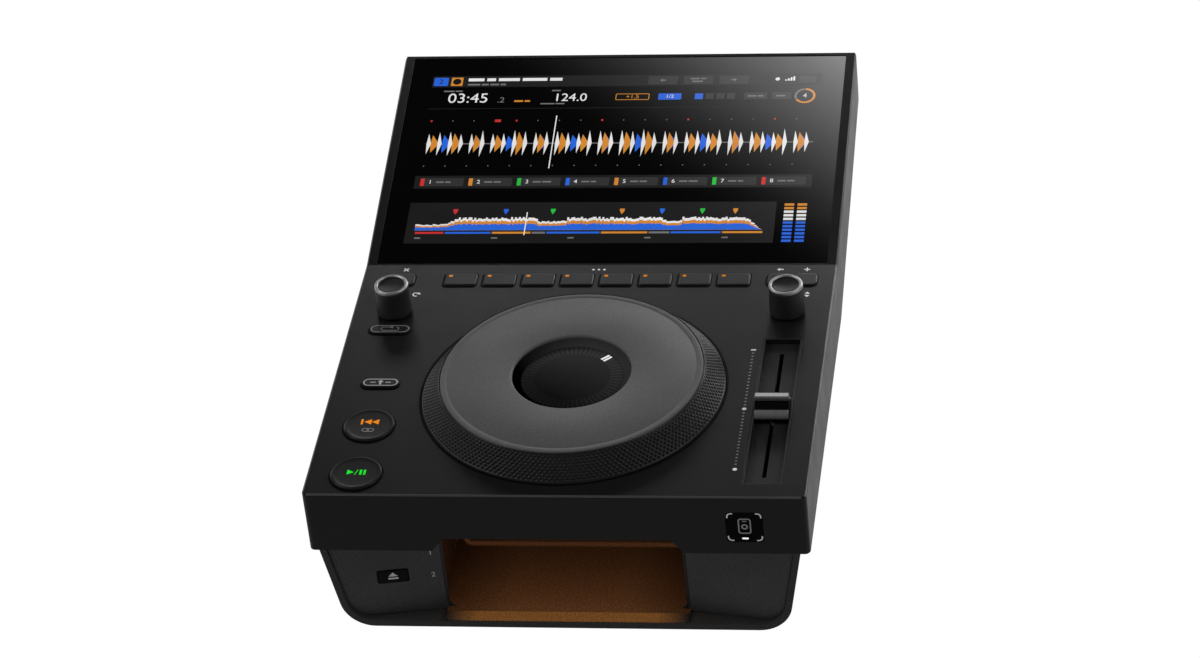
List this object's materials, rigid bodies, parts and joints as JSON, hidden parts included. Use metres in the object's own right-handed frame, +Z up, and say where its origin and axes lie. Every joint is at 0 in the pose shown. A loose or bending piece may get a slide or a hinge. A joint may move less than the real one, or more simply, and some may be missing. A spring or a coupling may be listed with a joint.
{
  "type": "dj multi player",
  "caption": "Tabletop DJ media player with a large jog wheel, tempo fader, performance pads, a tilted touch screen behind the deck and a lit media bay in the front.",
  "frame": {"origin": "on the table under the middle of the player's box", "axes": "+Y from the front with the media bay towards the back, +Z up, +X to the player's right"},
  "size_m": [0.256, 0.3599, 0.1224],
  "materials": {
    "shell": "fine satin texture",
    "tub": "satin",
    "front_panel": "satin",
    "bay": "grained, lit from the bay's light bar",
    "light": "emissive diffuser",
    "steel": "bright",
    "glass": "gloss, black from behind",
    "display": "matte",
    "board": "solder mask",
    "supply": "plain",
    "rear": "fine powder coat",
    "socket": "moulded",
    "audio": "plated",
    "inner": "moulded",
    "alloy": "turned",
    "jog_display": "gloss",
    "foot": "matte",
    "jog_ring": "dimpled satin",
    "jog_plate": "matte grey",
    "bush": "sintered",
    "cap": "satin",
    "knob": "satin",
    "trim": "satin bright",
    "button": "satin",
    "pad": "matte",
    "touch": "gloss"
  },
  "bodies": {
    "casing": {"lower_tub": "tub", "front_left_panel": "front_panel", "front_right_panel": "front_panel", "media_bay_liner": "bay", "bay_light_bar": "light", "usb_port_upper": "steel", "usb_port_lower": "steel", "upper_shell": "shell", "fader_channel": "inner", "touch_window": "touch", "screen_glass": "glass", "display_panel": "display", "main_board": "board", "control_board": "board", "power_supply": "supply", "rear_panel": "rear", "mains_inlet": "socket", "lan_socket": "steel", "audio_outputs": "audio", "jog_bowl": "inner", "jog_post": "alloy", "jog_display": "jog_display", "tact_switches": "socket", "left_encoder_body": "inner", "right_encoder_body": "inner", "fader_body": "inner", "rubber_feet": "foot", "case_screws": "steel", "panel_screws": "steel"},
    "jog_wheel": {"jog_ring": "jog_ring", "jog_plate": "jog_plate", "jog_bearing": "bush", "encoder_disc": "steel"},
    "tempo_fader": {"fader_lever": "steel", "fader_cap": "cap"},
    "left_knob_carrier": {"left_encoder_sleeve": "steel"},
    "left_knob": {"left_knob": "knob", "left_knob_trim": "trim", "left_encoder_shaft": "steel"},
    "right_knob_carrier": {"right_encoder_sleeve": "steel"},
    "right_knob": {"right_knob": "knob", "right_knob_trim": "trim", "right_encoder_shaft": "steel"},
    "cue_button": {"cue_button": "button"},
    "play_button": {"play_button": "button"},
    "shift_button": {"shift_button": "button"},
    "loop_button": {"loop_button": "button"},
    "delete_button": {"delete_button": "button"},
    "back_button": {"back_button": "button"},
    "tag_button": {"tag_button": "button"},
    "hot_cue_pad_1": {"hot_cue_pad_1": "pad"},
    "hot_cue_pad_2": {"hot_cue_pad_2": "pad"},
    "hot_cue_pad_3": {"hot_cue_pad_3": "pad"},
    "hot_cue_pad_4": {"hot_cue_pad_4": "pad"},
    "hot_cue_pad_5": {"hot_cue_pad_5": "pad"},
    "hot_cue_pad_6": {"hot_cue_pad_6": "pad"},
    "hot_cue_pad_7": {"hot_cue_pad_7": "pad"},
    "hot_cue_pad_8": {"hot_cue_pad_8": "pad"},
    "eject_button": {"eject_button": "button"},
    "power_button": {"power_button": "button"}
  },
  "joints": [
    {"name": "jog_spin", "type": "hinge", "parent": "casing", "child": "jog_wheel", "pos_m": [0, -0.0916, 0.09], "axis": [0, 0, 1], "continuous": true},
    {"name": "fader_slide", "type": "slide", "parent": "casing", "child": "tempo_fader", "axis": [0, 1, 0], "range_m": [-0.048, 0.048]},
    {"name": "left_knob_press", "type": "slide", "parent": "casing", "child": "left_knob_carrier", "axis": [0, 0, -1], "range_m": [0, 0.0008], "stiffness_N_per_m": 1500},
    {"name": "left_knob_turn", "type": "hinge", "parent": "left_knob_carrier", "child": "left_knob", "pos_m": [-0.1051, -0.0231, 0.09], "axis": [0, 0, 1], "continuous": true},
    {"name": "right_knob_press", "type": "slide", "parent": "casing", "child": "right_knob_carrier", "axis": [0, 0, -1], "range_m": [0, 0.0008], "stiffness_N_per_m": 1500},
    {"name": "right_knob_turn", "type": "hinge", "parent": "right_knob_carrier", "child": "right_knob", "pos_m": [0.1051, -0.0231, 0.09], "axis": [0, 0, 1], "continuous": true},
    {"name": "cue_button_press", "type": "slide", "parent": "casing", "child": "cue_button", "axis": [0, 0, -1], "range_m": [0, 0.0008], "stiffness_N_per_m": 800},
    {"name": "play_button_press", "type": "slide", "parent": "casing", "child": "play_button", "axis": [0, 0, -1], "range_m": [0, 0.0008], "stiffness_N_per_m": 800},
    {"name": "shift_button_press", "type": "slide", "parent": "casing", "child": "shift_button", "axis": [0, 0, -1], "range_m": [0, 0.0008], "stiffness_N_per_m": 800},
    {"name": "loop_button_press", "type": "slide", "parent": "casing", "child": "loop_button", "axis": [0, 0, -1], "range_m": [0, 0.0008], "stiffness_N_per_m": 800},
    {"name": "delete_button_press", "type": "slide", "parent": "casing", "child": "delete_button", "axis": [0, 0, -1], "range_m": [0, 0.0008], "stiffness_N_per_m": 800},
    {"name": "back_button_press", "type": "slide", "parent": "casing", "child": "back_button", "axis": [0, 0, -1], "range_m": [0, 0.0008], "stiffness_N_per_m": 800},
    {"name": "tag_button_press", "type": "slide", "parent": "casing", "child": "tag_button", "axis": [0, 0, -1], "range_m": [0, 0.0008], "stiffness_N_per_m": 800},
    {"name": "hot_cue_pad_1_press", "type": "slide", "parent": "casing", "child": "hot_cue_pad_1", "axis": [0, 0, -1], "range_m": [0, 0.0008], "stiffness_N_per_m": 800},
    {"name": "hot_cue_pad_2_press", "type": "slide", "parent": "casing", "child": "hot_cue_pad_2", "axis": [0, 0, -1], "range_m": [0, 0.0008], "stiffness_N_per_m": 800},
    {"name": "hot_cue_pad_3_press", "type": "slide", "parent": "casing", "child": "hot_cue_pad_3", "axis": [0, 0, -1], "range_m": [0, 0.0008], "stiffness_N_per_m": 800},
    {"name": "hot_cue_pad_4_press", "type": "slide", "parent": "casing", "child": "hot_cue_pad_4", "axis": [0, 0, -1], "range_m": [0, 0.0008], "stiffness_N_per_m": 800},
    {"name": "hot_cue_pad_5_press", "type": "slide", "parent": "casing", "child": "hot_cue_pad_5", "axis": [0, 0, -1], "range_m": [0, 0.0008], "stiffness_N_per_m": 800},
    {"name": "hot_cue_pad_6_press", "type": "slide", "parent": "casing", "child": "hot_cue_pad_6", "axis": [0, 0, -1], "range_m": [0, 0.0008], "stiffness_N_per_m": 800},
    {"name": "hot_cue_pad_7_press", "type": "slide", "parent": "casing", "child": "hot_cue_pad_7", "axis": [0, 0, -1], "range_m": [0, 0.0008], "stiffness_N_per_m": 800},
    {"name": "hot_cue_pad_8_press", "type": "slide", "parent": "casing", "child": "hot_cue_pad_8", "axis": [0, 0, -1], "range_m": [0, 0.0008], "stiffness_N_per_m": 800},
    {"name": "eject_button_press", "type": "slide", "parent": "casing", "child": "eject_button", "axis": [-0.1595, 0.9872, 0], "range_m": [0, 0.0015], "stiffness_N_per_m": 500},
    {"name": "power_button_press", "type": "slide", "parent": "casing", "child": "power_button", "axis": [0, -1, 0], "range_m": [0, 0.0015], "stiffness_N_per_m": 500}
  ]
}
